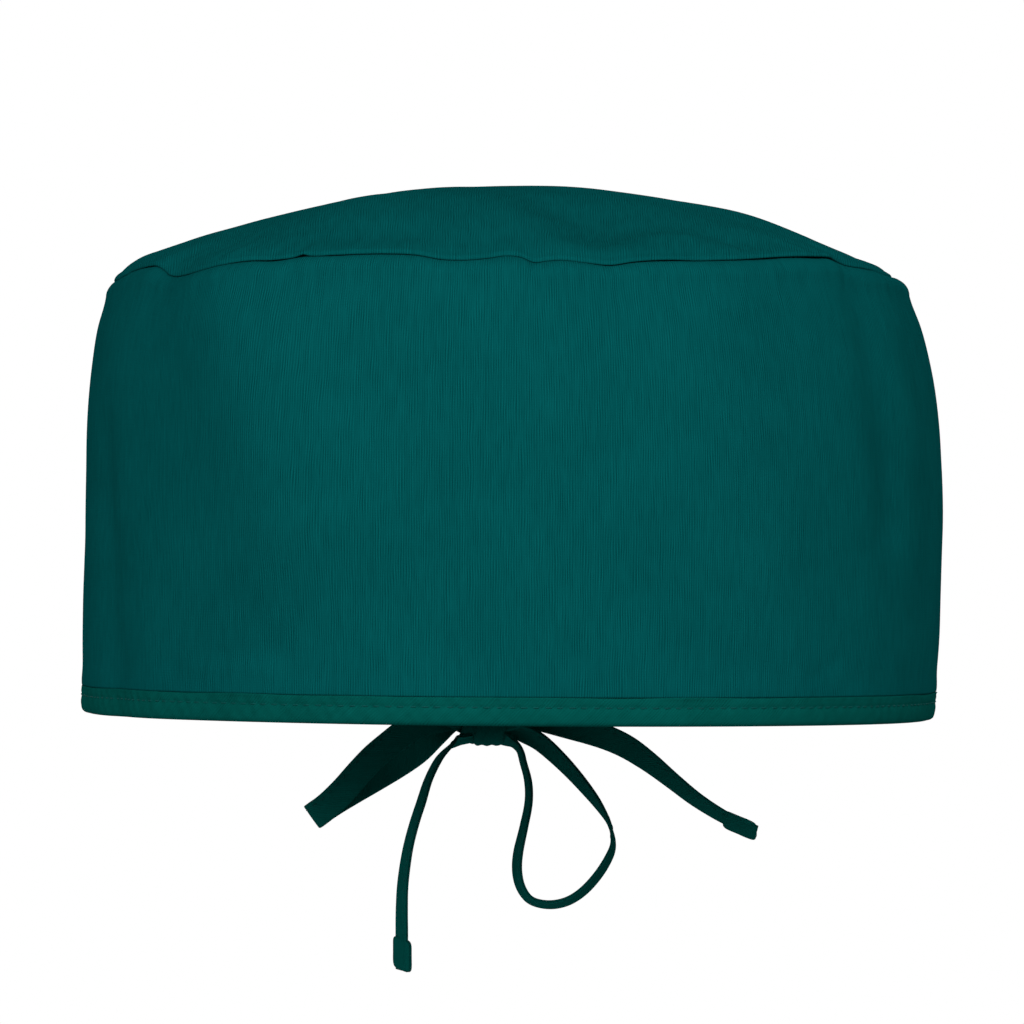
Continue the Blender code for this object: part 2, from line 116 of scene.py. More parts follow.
# Soft folds of the band: from turn a, height a to turn b, height b, how wide, how deep (inward is +)
bandFolds = (
    (0.614, 0.98, 0.576, 0.44, 0.16, -1.30),
    (0.690, 0.62, 0.672, 0.04, 0.07, 0.40),
    (0.655, 0.40, 0.640, 0.02, 0.08, -0.12),
    (0.348, 0.92, 0.340, 0.45, 0.09, 0.65),
    (0.303, 0.82, 0.300, 0.45, 0.10, 0.30),
    (0.484, 0.99, 0.490, 0.86, 0.07, 0.35),
    (0.060, 0.06, 0.105, 0.70, 0.14, 0.70),
    (0.932, 0.06, 0.890, 0.66, 0.14, 0.70),
)

# Soft folds of the crown, as shares of half the width and half the depth, downward is +
crownFolds = (
    (-0.30, -0.60, -0.02, -0.64, 0.20, -1.15),
    (0.15, -0.60, 0.20, -0.70, 0.14, 1.40),
    (0.32, -0.76, 0.42, -0.76, 0.09, -0.50),
    (0.48, -0.72, 0.55, -0.76, 0.08, 0.55),
    (-0.36, -0.80, -0.22, -0.82, 0.07, 0.40),
    (-0.62, -0.62, -0.46, -0.70, 0.10, 0.30),
    (0.54, -0.20, 0.56, 0.35, 0.12, -0.30),
    (0.80, -0.30, 0.81, 0.35, 0.10, 0.42),
    (-0.88, -0.20, -0.87, 0.20, 0.05, -0.35),
    (-0.20, 0.40, 0.30, 0.62, 0.16, 0.60),
)

fineness = {
    "columns": 540,        # round the cap
    "crowding": 0.45,      # how much closer they stand in front than on average
    "tapeColumns": 1440,   # round the hem, where each stitch puckers the tape
    "innerEvery": 3,       # the plain inner faces keep one row in so many
    "domeRows": 44,        # of the crown, up to where it nears its seam
}


def unit(rows):
    return rows / np.linalg.norm(rows, axis=-1, keepdims=True)


def signedPower(values, power):
    return np.sign(values) * np.abs(values) ** power


def softCurve(rows, places):
    # A smooth curve through a table's rows, whose first column is the place
    at, values = rows[:, 0], rows[:, 1:]
    slopes = np.gradient(values, at, axis=0)
    places = np.clip(np.asarray(places, float), at[0], at[-1])
    row = np.clip(np.searchsorted(at, places, side="right") - 1, 0, len(at) - 2)
    span = at[row + 1] - at[row]
    t = ((places - at[row]) / span)[..., None]
    span = span[..., None]
    return (
        (2 * t ** 3 - 3 * t ** 2 + 1) * values[row]
        + (t ** 3 - 2 * t ** 2 + t) * span * slopes[row]
        + (3 * t ** 2 - 2 * t ** 3) * values[row + 1]
        + (t ** 3 - t ** 2) * span * slopes[row + 1]
    )


def halfSizes(share):
    sizes = softCurve(bandSections, share)
    halfWidth, halfDepth = cap["width"] / 2, cap["depth"] / 2
    return (sizes[..., 0] * halfWidth, sizes[..., 1] * halfWidth,
            sizes[..., 2] * halfDepth, sizes[..., 3] * halfDepth)


def planPoint(turn, share):
    left, right, front, back = halfSizes(share)
    side, rear = np.sin(fullTurn * turn), np.cos(fullTurn * turn)
    x, y = signedPower(side, 2 / cap["planPower"]), signedPower(rear, 2 / cap["planPower"])
    x, y = x * np.where(x > 0, right, left), y * np.where(y > 0, back, front)
    return np.stack([x, y], -1)


def planNormal(turn, share):
    step = 0.0015
    along = planPoint(turn + step, share) - planPoint(turn - step, share)
    return unit(np.stack([-along[..., 1], along[..., 0]], -1))


def backness(turn):
    return np.maximum(0, np.cos(fullTurn * turn)) ** 2


def hemZ(turn):
    side = np.sin(fullTurn * turn)
    droop = cap["hemTilt"] / 2 * side + cap["hemDroop"] * side ** 4
    return cap["clearance"] + cap["tapeCloth"] - cap["backHemDip"] * backness(turn) - droop


def seamZ(turn):
    return cap["bandHeight"] - cap["backSeamDrop"] * backness(turn)


def bump(values, middle, reach):
    return np.exp(-((values - middle) / reach) ** 2)


def lineFold(x, y, fold):
    # How strongly a fold between two places is felt at x, y
    ax, ay, bx, by, reach, depth = fold
    dx, dy = bx - ax, by - ay
    share = np.clip(((x - ax) * dx + (y - ay) * dy) / (dx * dx + dy * dy), 0, 1)
    away = np.hypot(x - ax - share * dx, y - ay - share * dy)
    return depth * np.exp(-(away / reach) ** 2)


def bandFold(turn, share):
    unrolled = math.pi * (cap["width"] + cap["depth"]) / 2 / cap["bandHeight"]
    x = np.mod(turn, 1) * unrolled
    total = 0
    for ax, ay, bx, by, reach, depth in bandFolds:
        total = total + lineFold(x, share, (ax * unrolled, ay, bx * unrolled, by, reach, depth))
    return total * cap["foldDepth"]


def crownFold(x, y):
    x, y = x / (cap["width"] / 2), y / (cap["depth"] / 2)
    return cap["foldDepth"] * sum(lineFold(x, y, fold) for fold in crownFolds)


def tapeRecess(share):
    above = (share * cap["bandHeight"] - cap["tapeHeight"]) / cap["tapeRamp"]
    ease = np.clip(1 - above, 0, 1)
    return cap["tapeStep"] * ease * ease * (3 - 2 * ease)


def wallPoint(turn, share, out=0.0):
    # A point of the band's outer face, moved outward by out
    turn, share = np.broadcast_arrays(np.asarray(turn, float), np.asarray(share, float))
    out = out - bandFold(turn, share) - tapeRecess(share)
    plan = planPoint(turn, share) + planNormal(turn, share) * out[..., None]
    z = hemZ(turn) + (seamZ(turn) - hemZ(turn)) * share
    return np.concatenate([plan, z[..., None]], -1)


def arcTable():
    # How far round the cap each turn is, at half height, from the middle of the back
    turns = np.linspace(-0.1, 1.1, 4801)
    points = planPoint(turns, np.full_like(turns, 0.5))
    steps = np.linalg.norm(np.diff(points, axis=0), axis=1)
    arcs = np.concatenate([[0], np.cumsum(steps)])
    return turns, arcs - np.interp(0, turns, arcs)


arcTurns, arcLengths = arcTable()
girth = float(np.interp(1, arcTurns, arcLengths))


def turnAt(arc):
    return np.interp(arc, arcLengths, arcTurns)


def arcAt(turn):
    return np.interp(turn, arcTurns, arcLengths)


def notchTurns(share, columns):
    # Columns from the right edge of the notch round the front to its left edge, closer together in front
    notchShare = cap["notchHeight"] / float(seamZ(0) - hemZ(0))
    half = cap["notchWidth"] / 2 * np.maximum(0, 1 - share / notchShare)
    at = np.minimum(share, notchShare)
    left, right = halfSizes(at)[:2]

    def backTurn(x):
        reach = np.where(x > 0, right, left)
        return np.arcsin(signedPower(x / reach, cap["planPower"] / 2)) / fullTurn

    start = arcAt(backTurn(cap["knotX"] + half))
    end = arcAt(1 + backTurn(cap["knotX"] - half))
    way = np.linspace(0, 1, columns + 1)
    way = way + fineness["crowding"] / fullTurn * np.sin(fullTurn * way)
    return turnAt(start[..., None] + (end - start)[..., None] * way)


# Meshes are grids of points, each with its place on the flat cloth in mm. Edges that meet are welded.
def clothMesh(name, patches):
    points, places, faces = [], [], []
    count = 0
    for grid, place, flipped in patches:
        rows, columns = grid.shape[:2]
        index = np.arange(rows * columns).reshape(rows, columns) + count
        count += rows * columns
        quads = np.stack([index[:-1, :-1], index[:-1, 1:], index[1:, 1:], index[1:, :-1]], -1)
        quads = quads.reshape(-1, 4)
        faces.append(quads[:, ::-1] if flipped else quads)
        points.append(grid.reshape(-1, 3))
        places.append(np.broadcast_to(place, grid.shape).reshape(-1, 3))
    points, places, faces = np.concatenate(points), np.concatenate(places), np.concatenate(faces)
    keys = np.round(points / 2e-6).astype(np.int64)
    _, first, welded = np.unique(keys, axis=0, return_index=True, return_inverse=True)
    welded = welded.reshape(-1)
    joined = welded[faces]
    whole = (joined[:, 0] != joined[:, 1]) & (joined[:, 1] != joined[:, 2])
    whole &= (joined[:, 2] != joined[:, 3]) & (joined[:, 3] != joined[:, 0])
    whole &= (joined[:, 0] != joined[:, 2]) & (joined[:, 1] != joined[:, 3])
    corners, cornerPlaces = [joined[whole].reshape(-1)], [places[faces[whole]].reshape(-1, 3)]
    sizes = [np.full(whole.sum(), 4)]
    for face, raw in zip(joined[~whole], faces[~whole]):
        kept = [k for k in range(4) if face[k] != face[k - 1]]
        if len(kept) == 3 and len({face[k] for k in kept}) == 3:
            corners.append(face[kept])
            cornerPlaces.append(places[raw[kept]])
            sizes.append(np.array([3]))
    corners, sizes = np.concatenate(corners), np.concatenate(sizes)
    cornerPlaces = np.concatenate(cornerPlaces)
    mesh = bpy.data.meshes.new(name)
    mesh.vertices.add(len(first))
    mesh.vertices.foreach_set("co", points[first].astype(np.float32).reshape(-1))
    mesh.loops.add(len(corners))
    mesh.loops.foreach_set("vertex_index", corners.astype(np.int32))
    mesh.polygons.add(len(sizes))
    mesh.polygons.foreach_set("loop_start", np.concatenate([[0], np.cumsum(sizes)[:-1]]).astype(np.int32))
    mesh.update(calc_edges=True)
    mesh.validate()
    clothPlace = mesh.attributes.new("clothPlace", "FLOAT_VECTOR", "CORNER")
    clothPlace.data.foreach_set("vector", cornerPlaces.astype(np.float32).reshape(-1))
    mesh.shade_smooth()
    piece = bpy.data.objects.new(name, mesh)
    bpy.context.collection.objects.link(piece)
    return piece


def rimPatch(outer, inner, place, innerPlace, flipped):
    # The strip that closes an edge between two faces
    return np.stack([outer, inner]), np.stack([place, innerPlace]), flipped


def gridNormals(grid, closed):
    # closed says for each row whether its last column meets its first
    across = np.gradient(grid, axis=1)
    ends = (across[:, :1] + across[:, -1:]) / 2
    across[:, :1] = np.where(closed[:, None, None], ends, across[:, :1])
    across[:, -1:] = np.where(closed[:, None, None], ends, across[:, -1:])
    normals = np.cross(across, np.gradient(grid, axis=0))
    return normals / np.maximum(np.linalg.norm(normals, axis=-1, keepdims=True), 1e-12)


# Ties: each is one folded tape, from the end of the hem through the knot, round its loop and out again
ties = {
    "width": 0.0066,
    "thickness": 0.0009,
    "edgeGroove": 0.0004,      # between the two turned-in edges
    "stitchInset": 0.0012,     # the stitch line, in from the open edge
    "step": 0.0005,            # between cross-sections
    "knotWidth": 0.011,
    "knotDepth": 0.009,
    "knotHeight": 0.010,
    "knotDrop": 0.0033,
    "lead": 0.0022,            # how far each loop runs square out of the knot
    # Of the left and the right end's tab: length, width, thickness, shift, and how it is turned in degrees
    "tabs": {-1: (0.0078, 0.0073, 0.0022, 0.0005, -12), 1: (0.0088, 0.0074, 0.0023, -0.0004, -6)},
}
knotSide = ties["knotWidth"] / 2 + cap["clearance"]
leadSide = knotSide + ties["lead"]

# Routes from the knot's middle: x, y, z, then the direction of the tape's width in the front view, in
# degrees from +X towards +Z, and how far that width is turned away from the viewer
leftLoopRoute = (
    (-knotSide, -0.0003, 0.0016, 92, 10), (-leadSide, -0.0003, 0.0016, 94, 10),
    (-0.0112, 0.0002, 0.0012, 102, 12), (-0.0147, 0.0008, 0.0003, 108, 14),
    (-0.0192, 0.0010, -0.0019, 118, 15), (-0.0230, 0.0008, -0.0048, 127, 15),
    (-0.0268, 0.0003, -0.0080, 134, 15), (-0.0303, 0.0000, -0.0117, 139, 14),
    (-0.0337, 0.0000, -0.0156, 138, 10), (-0.0372, 0.0003, -0.0191, 131, 5),
    (-0.0407, 0.0012, -0.0219, 126, 0), (-0.0415, 0.0032, -0.0224, 126, 0),
    (-0.0396, 0.0050, -0.0211, 126, 0), (-0.0364, 0.0062, -0.0190, 124, 2),
    (-0.0322, 0.0070, -0.0165, 122, 4), (-0.0268, 0.0076, -0.0134, 121, 6),
    (-0.0208, 0.0074, -0.0098, 121, 8), (-0.0160, 0.0062, -0.0064, 118, 8),
    (-0.0118, 0.0040, -0.0022, 108, 8), (-leadSide, 0.0024, 0.0014, 96, 8),
    (-knotSide, 0.0024, 0.0014, 92, 8),
)
rightLoopRoute = (
    (knotSide, 0.0008, -0.0042, 240, 70), (0.0072, 0.0009, -0.0047, 216, 74),
    (0.0087, 0.0012, -0.0066, 194, 80), (0.0094, 0.0016, -0.0092, 184, 80),
    (0.0106, 0.0018, -0.0139, 180, 79), (0.0107, 0.0018, -0.0190, 175, 79),
    (0.0095, 0.0016, -0.0251, 173, 78), (0.0082, 0.0012, -0.0309, 173, 75),
    (0.0079, 0.0010, -0.0353, 182, 74), (0.0087, 0.0010, -0.0392, 205, 74),
    (0.0108, 0.0010, -0.0423, 235, 75), (0.0140, 0.0010, -0.0435, 262, 74),
    (0.0176, 0.0010, -0.0435, 278, 73), (0.0212, 0.0012, -0.0423, 295, 73),
    (0.0247, 0.0014, -0.0397, 312, 73), (0.0281, 0.0016, -0.0357, 322, 74),
    (0.0305, 0.0018, -0.0315, 336, 77), (0.0312, 0.0020, -0.0287, 352, 84),
    (0.0307, 0.0022, -0.0256, 370, 90), (0.0296, 0.0024, -0.0228, 386, 96),
    (0.0261, 0.0026, -0.0176, 398, 109), (0.0203, 0.0026, -0.0108, 400, 120),
    (0.0142, 0.0022, -0.0050, 406, 128), (0.0104, 0.0018, -0.0027, 420, 130),
    (leadSide, 0.0013, -0.0018, 440, 122), (knotSide, 0.0013, -0.0018, 450, 102),
)
leftEndRoute = (
    (-knotSide, -0.0014, -0.0038, 262, 72), (-0.0070, -0.0016, -0.0041, 246, 62),
    (-0.0083, -0.0024, -0.0053, 222, 62), (-0.0109, -0.0029, -0.0082, 212, 70),
    (-0.0134, -0.0031, -0.0131, 202, 74), (-0.0152, -0.0031, -0.0187, 198, 72),
    (-0.0168, -0.0030, -0.0236, 196, 72), (-0.0182, -0.0028, -0.0289, 192, 72),
    (-0.0191, -0.0026, -0.0340, 188, 71), (-0.0197, -0.0024, -0.0392, 184, 70),
    (-0.0199, -0.0022, -0.0450, 182, 68), (-0.0199, -0.0020, -0.0510, 180, 67),
    (-0.0200, -0.0019, -0.0552, 178, 69), (-0.0200, -0.0018, -0.0592, 176, 70),
)
rightEndRoute = (
    (knotSide, 0.0026, 0.0024, 90, -4), (leadSide, 0.0026, 0.0024, 89, -4),
    (0.0110, 0.0034, 0.0020, 84, -6), (0.0155, 0.0046, 0.0009, 80, -10),
    (0.0210, 0.0058, -0.0007, 76, -16), (0.0260, 0.0066, -0.0022, 71, -22),
    (0.0305, 0.0072, -0.0038, 66, -26), (0.0350, 0.0074, -0.0060, 60, -32),
    (0.0402, 0.0074, -0.0096, 54, -44), (0.0453, 0.0072, -0.0137, 51, -54),
    (0.0510, 0.0068, -0.0182, 50, -60), (0.0564, 0.0062, -0.0217, 54, -64),
    (0.0608, 0.0056, -0.0240, 60, -66), (0.0660, 0.0050, -0.0262, 66, -67),
)

knotCentre = Vector((
    cap["knotX"],
    float(halfSizes(np.array(0.0))[3]) - cap["tapeStep"] - cap["wall"] / 2 + ties["knotDepth"] / 3,
    float(hemZ(0)) - ties["knotDrop"],
))


def hemEnd(side):
    # Where the tape leaves the notch's corner, from the knot's middle
    turns = notchTurns(np.array([0.0]), 1)[0]
    corner = wallPoint(turns[0 if side > 0 else 1], 0.0, -cap["wall"] / 2)
    corner[2] += cap["tapeHeight"] / 2
    return corner - np.array(knotCentre)


def splineRows(rows, steps=12):
    rows = np.array([rows[0], *rows, rows[-1]], float)
    p, q, r, s = rows[:-3, None], rows[1:-2, None], rows[2:-1, None], rows[3:, None]
    t = np.linspace(0, 1, steps, endpoint=False)[None, :, None]
    square, cube = 2 * p - 5 * q + 4 * r - s, 3 * q - p - 3 * r + s
    fine = 0.5 * (2 * q + (r - p) * t + square * t ** 2 + cube * t ** 3)
    return np.concatenate([fine.reshape(-1, rows.shape[1]), rows[-1:]])


def widthVector(tilt, swing):
    tilt, swing = np.radians(tilt), np.radians(swing)
    return np.stack([np.cos(tilt) * np.cos(swing), np.sin(swing), np.sin(tilt) * np.cos(swing)], -1)


def tapeFrames(legs):
    # Joins the legs of one tie into evenly spaced cross-sections: the middles and the width directions
    fine = [splineRows(leg) for leg in legs]
    points = np.concatenate([leg[:, :3] for leg in fine])
    widths = np.concatenate([widthVector(leg[:, 3], leg[:, 4]) for leg in fine])
    steps = np.linalg.norm(np.diff(points, axis=0), axis=1)
    kept = np.concatenate([[True], steps > 1e-6])
    points, widths = points[kept], widths[kept]
    lengths = np.concatenate([[0], np.cumsum(np.linalg.norm(np.diff(points, axis=0), axis=1))])
    at = np.linspace(0, lengths[-1], int(lengths[-1] / ties["step"]) + 1)
    for k in range(1, len(widths)):
        if np.dot(widths[k], widths[k - 1]) < 0:
            widths[k:] *= -1
    points, widths = [np.stack([np.interp(at, lengths, rows[:, k]) for k in range(3)], -1)
                      for rows in (points, widths)]
    kernel = np.hanning(7)[1:-1] / np.hanning(7).sum()
    for rows in (points, widths):
        rows[2:-2] = np.stack([np.convolve(rows[:, k], kernel, "valid") for k in range(3)], -1)
    along = unit(np.gradient(points, axis=0))
    widths = unit(widths - along * (widths * along).sum(1, keepdims=True))
    return points + np.array(knotCentre), along, widths, np.cross(along, widths), at


def tapeProfile():
    # Half the tape's section, from the folded edge along one face to the open edge, then back
    half, thick = ties["width"] / 2, ties["thickness"] / 2
    groove = ties["edgeGroove"]
    face = [
        (-half, 0.0), (-half + 0.1 * thick, 0.55 * thick), (-half + 0.6 * thick, 0.92 * thick),
        (-half + 1.6 * thick, thick), (-half * 0.45, thick * 1.03), (0, thick * 1.04), (half * 0.35, thick),
        (half - ties["stitchInset"] - 0.35 * mm, 0.93 * thick), (half - ties["stitchInset"], 0.80 * thick),
        (half - ties["stitchInset"] + 0.35 * mm, 0.93 * thick), (half - 0.5 * thick, 0.97 * thick),
        (half - 0.12 * thick, 0.75 * thick), (half, 0.45 * thick), (half - 0.15 * thick, 0.15 * thick),
        (half - groove, 0.0),
    ]
    return np.array(face + [(a, -b) for a, b in face[-2:0:-1]])


def tapePatches(points, widths, thicks, at, profile, closed=False):
    section = np.concatenate([profile, profile[:1]])
    grid = points[:, None] + widths[:, None] * section[None, :, :1] + thicks[:, None] * section[None, :, 1:]
    across = np.broadcast_to(section[None, :, 0], grid.shape[:2])
    side = np.broadcast_to(section[None, :, 1], grid.shape[:2])
    place = np.stack([np.broadcast_to(at[:, None], across.shape), across, side], -1) / mm
    patches = [(grid, place, True)]
    if not closed:
        for row, flipped in ((0, False), (-1, True)):
            middle = np.broadcast_to(points[row], grid[row].shape)
            patches.append(rimPatch(grid[row], middle, place[row], place[row], flipped))
    return patches


# The seam where the crown joins the band, in mm: where round the front (right of its middle is +), how far
# it rises over the pattern's line, how far the crown's edge stands out over it, and how wide it gapes
seamLine = np.array((
    (-300, 0, 1.6, 0.1), (-180, 0, 2, 0.1), (-149, -0.5, 2.4, 0.06), (-128, -0.35, 2.2, 0.05),
    (-110.5, 0.9, 1.7, 0.12), (-105.5, 1, 1.6, 0.24), (-101, 0.9, 1.5, 0.16), (-97.7, 0.1, 1.5, 0.06),
    (-95, -0.9, 1.5, 0.1), (-91, -1.6, 1.5, 0.12), (-86, -1.5, 1.6, 0.1), (-80, -1, 1.6, 0.04),
    (-70, 0.25, 1.6, 0.03), (-62.5, 0.9, 1.7, 0.22), (-55.5, 0.9, 1.8, 0.36), (-50.3, 1.6, 1.8, 0.4),
    (-49.2, 1.7, 1.9, 0.75), (-48, 1.75, 1.8, 0.35), (-42, 1.8, 1.8, 0.28), (-35, 2, 1.8, 0.22),
    (-28.7, 2, 1.8, 0.23), (-22, 1.7, 1.7, 0.17), (-15.7, 0.7, 1.6, 0.12), (-10.6, 0.6, 1.6, 0.08),
    (-5.3, 1, 1.6, 0.06), (-1.2, 1.5, 1.5, 0.02), (2, 1.2, 1.5, 0.05), (5.3, 0.1, 1.6, 0.09),
    (8, 0.4, 1.6, 0.07), (11.3, 0.65, 1.6, 0.04), (16.7, 0.2, 1.6, 0.03), (23.3, -0.5, 1.8, 0.27),
    (29, 0.2, 1.7, 0.27), (37, 0.6, 1.7, 0.37), (45.3, 0.7, 1.6, 0.17), (51.5, 0.9, 1.6, 0.19),
    (59.5, 1.2, 1.7, 0.32), (65, 1.45, 1.7, 0.48), (71, 1.9, 1.8, 0.42), (82, 2.1, 1.8, 0.55),
    (89.7, 2.2, 1.7, 0.38), (97.4, 1, 1.2, 0.08), (109.4, 0.4, 0.6, 0.03), (128, -0.3, 0.3, 0.03),
    (150, -0.3, 0.3, 0.05), (180, 0, 1.2, 0.1), (300, 0, 1.6, 0.1),
))

# Small wrinkles: from u, v to u, v on the cloth in mm, how wide, how deep
smallWrinkles = (
    (-66, 9, -65, 14, 1.1, 0.25),
    (-74, 10, -54, 9.5, 2.8, -0.45),
    (-45, 9, -38, 18, 2.5, 0.15),
    (-36, 9, -30, 16, 2.5, -0.14),
    (70, 9, 78, 13, 1.6, 0.2),
)

cloth = {
    "thickness": 0.0008,
    "creaseDepth": 0.0043,     # how far in from the band's face the seam lies
    "edgeRise": 0.0013,        # the crown's edge over the seam
    "edgeRound": 0.0012,
    "tuckLength": 0.005,       # the allowance turned in
    "tuckAngle": 45,
    "unevenness": 0.00012,     # slack that any sewn cloth has
    "gather": 0.00016,         # small gathers that run out of the crown seam
    "notchHem": 0.005,         # the narrow turned hem of the notch
    "blouse": 0.00025,         # how far the band hangs out over the tape
    "backSeam": 0.0005,        # how deep the seam behind lies
    "backSeamWidth": 1.2,      # mm
    "slackSize": 31,           # mm, of the band's slack
}


# Waves of slack in the cloth: direction in radians, length as a share of their size, phase
slackWaves = (
    (0.3, 1.00, 0.4), (1.1, 0.71, 2.1), (1.9, 1.27, 4.0),
    (2.6, 0.53, 1.2), (0.8, 0.39, 5.3), (2.2, 0.83, 3.1),
)


def unevenness(u, v, size):
    total = 0
    for k, (angle, length, phase) in enumerate(slackWaves):
        along = u * math.cos(angle) + v * math.sin(angle)
        total = total + np.sin(along / (size * length) * fullTurn + phase) / (k + 2)
    return total


def gathers(u):
    return (np.sin(u / 7.9 * fullTurn + 0.7) + 0.8 * np.sin(u / 11.3 * fullTurn + 2.4)
            + 0.6 * np.sin(u / 5.7 * fullTurn + 4.4)) / 2.4


def frontPlace(turn):
    # Round the front in mm from its middle, to the right
    return (arcAt(0.5) - arcAt(np.mod(turn, 1))) / mm


def puckers(turn):
    row = softCurve(seamLine, frontPlace(turn)) * mm
    return row[..., 0], row[..., 1], row[..., 2]


wallTop = 1 - cap["shoulder"] / cap["bandHeight"]


def fineWall(turn, share, out=0.0):
    # The band's outer face with its small wrinkles
    turn, share = np.broadcast_arrays(turn, share)
    u, v = frontPlace(turn), share * cap["bandHeight"] / mm
    wrinkles = sum(lineFold(u, v, row) for row in smallWrinkles)
    quiet = np.clip((v - cap["tapeHeight"] / mm) / 6, 0, 1)
    slack = cloth["unevenness"] * unevenness(u, v, cloth["slackSize"]) * quiet
    fromSeam = (cap["bandHeight"] / mm - v) / 7
    gather = cloth["gather"] * gathers(u) * np.exp(-fromSeam ** 2)
    overTape = v - cap["tapeHeight"] / mm
    gather = gather + cloth["blouse"] * (0.6 + 0.5 * gathers(0.37 * u)) * (
        bump(overTape, 1.4, 2.2) * np.clip(overTape / 0.6, 0, 1))
    deep, wide = cloth["backSeam"], cloth["backSeamWidth"]
    seam = deep * bump(u, -girth / mm / 2, wide) + deep * bump(u, girth / mm / 2, wide)
    point = wallPoint(turn, share, out - wrinkles * mm * quiet + slack + gather)
    normal = planNormal(turn, share) * seam[..., None]
    point[..., :2] -= normal
    point[..., 2] += puckers(turn)[0] * share ** cap["waveFade"]
    return point


def seamPoint(turn, inset, rise):
    share = np.full_like(turn, wallTop)
    u = frontPlace(turn)
    v = wallTop * cap["bandHeight"] / mm
    gather = cloth["gather"] * gathers(u) + cloth["unevenness"] * unevenness(u, v, cloth["slackSize"])
    inset = inset + bandFold(turn, share) - gather
    plan = planPoint(turn, share) - planNormal(turn, share) * inset[..., None]
    z = seamZ(turn) + rise + puckers(turn)[0]
    return np.concatenate([plan, np.asarray(z)[..., None]], -1)


def bandRows():
    # Closer together at the hem and towards the seam, in mm
    roll = wallTop * cap["bandHeight"] / mm
    stretches = ((0, 4.0, 5), (4.5, 5.7, 9), (6.4, 20, 14), (21.5, 83.5, 37), (85, roll, 13))
    heights = np.concatenate([np.linspace(*stretch) for stretch in stretches])
    return heights * mm / cap["bandHeight"]


def rollRise(inset):
    # The band's roll into the seam: how far it lies under the seam at an inset
    radius = cap["shoulder"]
    return np.sqrt(radius ** 2 - np.clip(radius - inset, 0, radius) ** 2) - radius


def seamRoll():
    # How far in and how far up the band's cloth goes as it rolls into the seam and turns down inside
    radius, tuck = cap["shoulder"], math.radians(cloth["tuckAngle"])
    insets = radius * (1 - np.cos(np.radians(np.arange(10, 91, 8))))
    profile = [(inset, float(rollRise(inset))) for inset in insets]
    for share in (0.06, 0.2, 0.4, 0.7, 1.0):
        reach = share * cloth["tuckLength"]
        profile.append((cloth["creaseDepth"] + reach * math.cos(tuck), -0.0002 - reach * math.sin(tuck)))
    return profile


def makeBand():
    shares, columns = bandRows(), fineness["columns"]
    turns = notchTurns(shares, columns)
    outer = fineWall(turns, shares[:, None])
    u = frontPlace(turns)
    u[:, 0], u[:, -1] = np.abs(u[:, 0]), -np.abs(u[:, -1])
    v = np.broadcast_to((shares * cap["bandHeight"] / mm)[:, None], u.shape)

    profile = seamRoll()
    roll = np.stack([seamPoint(turns[-1], np.full(columns + 1, inset), rise) for inset, rise in profile])
    outer = np.concatenate([outer, roll])
    rollU = np.broadcast_to(u[-1], roll.shape[:2])
    rollV = v[-1, 0] + 0.9 * np.arange(1, len(profile) + 1)[:, None] + np.zeros(columns + 1)
    place = np.stack([np.concatenate([u, rollU]), np.concatenate([v, rollV])], -1)
    place = np.concatenate([place, np.zeros(place.shape[:2] + (1,))], -1)

    notchShare = cap["notchHeight"] / float(seamZ(0) - hemZ(0))
    closed = np.concatenate([shares >= notchShare - 1e-6, np.ones(len(profile), bool)])
    outer[closed, 0] = outer[closed, -1] = (outer[closed, 0] + outer[closed, -1]) / 2

    # The inner face. The notch's edges are turned in, so the cloth is double there.
    inward = gridNormals(outer, closed)
    inward[:len(shares), :, 2] = 0
    inward = unit(inward)
    arcs = arcAt(np.concatenate([turns, np.repeat(turns[-1:], len(profile), 0)]))
    fromEdge = np.minimum(arcs - arcs[:, :1], arcs[:, -1:] - arcs)
    turnedIn = np.clip(1.5 - fromEdge / cloth["notchHem"], 0, 1) * np.where(closed, 0, 1)[:, None]
    inner = outer + inward * (cloth["thickness"] * (1 + 0.6 * np.clip(turnedIn * 3, 0, 1)))[..., None]
    innerPlace = place + np.array([0, 0, 1.0])
    inner[closed, 0] = inner[closed, -1] = (inner[closed, 0] + inner[closed, -1]) / 2
    rows = np.arange(len(outer))
    edge = int(np.argmax(closed)) + 1
    kept = np.concatenate([rows[:edge], rows[edge:len(shares):fineness["innerEvery"]], rows[len(shares):]])
    patches = [(outer, place, True), (inner[kept], innerPlace[kept], False)]
    for row, flipped in ((0, False), (-1, True)):
        patches.append(rimPatch(outer[row], inner[row], place[row], innerPlace[row], flipped))
    for column, flipped in ((0, True), (-1, False)):
        sides = [face[:edge, column] for face in (outer, inner, place, innerPlace)]
        patches.append(rimPatch(*sides, flipped))
    return clothMesh("band", patches)


# The crown's edge, from its top round and back to the seam: how far behind its front, as a share of its
# roundness, and how far over its foot, as a share of its height
crownEdge = ((0.62, 0.90), (0.34, 0.74), (0.12, 0.52), (0.0, 0.28), (0.02, 0.12), (0.14, 0.02))


